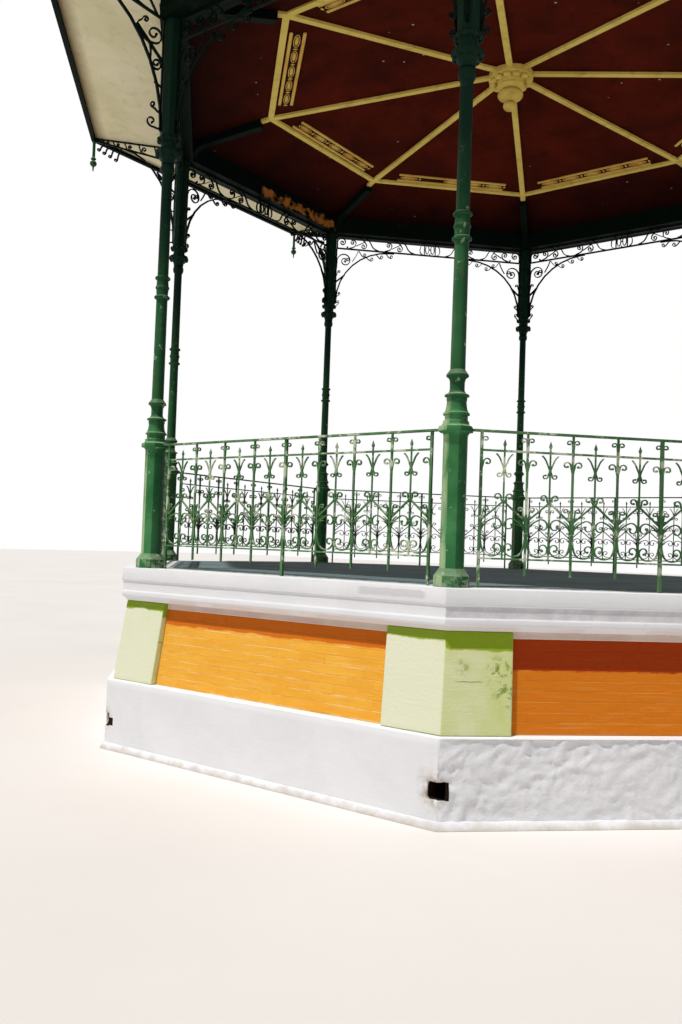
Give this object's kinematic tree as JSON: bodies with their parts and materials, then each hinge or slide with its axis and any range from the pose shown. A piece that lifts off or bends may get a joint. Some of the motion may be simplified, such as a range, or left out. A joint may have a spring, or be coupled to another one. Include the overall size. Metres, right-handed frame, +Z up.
{
  "type": "bandstand",
  "caption": "Octagonal park bandstand: raised masonry base, slender cast columns on pedestals, scrolled wrought-iron railings, friezes and brackets, and a wide eave.",
  "frame": {"origin": "centre of the plinth's underside, at ground level on the central axis", "axes": "+Z up along the central axis; two opposite sides of the octagon face -Y and +Y, two face -X and +X"},
  "size_m": [9.4082, 9.4082, 9.1202],
  "materials": {
    "white_render": "matte",
    "pilaster_render": "matte",
    "brick": "matte",
    "floor_screed": "matte",
    "cast_green": "satin",
    "wrought_green": "satin",
    "pale_iron": "satin",
    "dark_green_wood": "satin",
    "soffit_cream": "matte",
    "ceiling_red": "matte",
    "batten_cream": "satin",
    "roof_metal": "satin"
  },
  "bodies": {
    "root": {"plinth": "white_render", "brick_walls": "brick", "corner_pilasters": "pilaster_render", "cornice": "white_render", "floor_slab": "floor_screed", "pedestals": "cast_green", "column_1": "cast_green", "column_2": "cast_green", "column_3": "cast_green", "column_4": "cast_green", "column_5": "cast_green", "column_6": "cast_green", "column_7": "cast_green", "column_8": "cast_green", "railing_1": "wrought_green", "railing_2": "wrought_green", "railing_3": "wrought_green", "railing_4": "wrought_green", "railing_5": "wrought_green", "railing_6": "wrought_green", "railing_7": "wrought_green", "railing_8": "wrought_green", "frieze_1": "wrought_green", "frieze_2": "wrought_green", "frieze_3": "wrought_green", "frieze_4": "wrought_green", "frieze_5": "wrought_green", "frieze_6": "wrought_green", "frieze_7": "wrought_green", "frieze_8": "wrought_green", "spandrel_brackets": "wrought_green", "eave_brackets": "wrought_green", "eave_pendants": "pale_iron", "eave_beam": "dark_green_wood", "soffit": "soffit_cream", "fascia": "dark_green_wood", "hip_rafters": "dark_green_wood", "outer_ceiling": "ceiling_red", "inner_ceiling": "ceiling_red", "ceiling_battens": "batten_cream", "vent_grilles": "batten_cream", "hub": "batten_cream", "roof_covering": "roof_metal", "hip_rolls": "roof_metal", "finial": "roof_metal"}
  },
  "joints": []
}
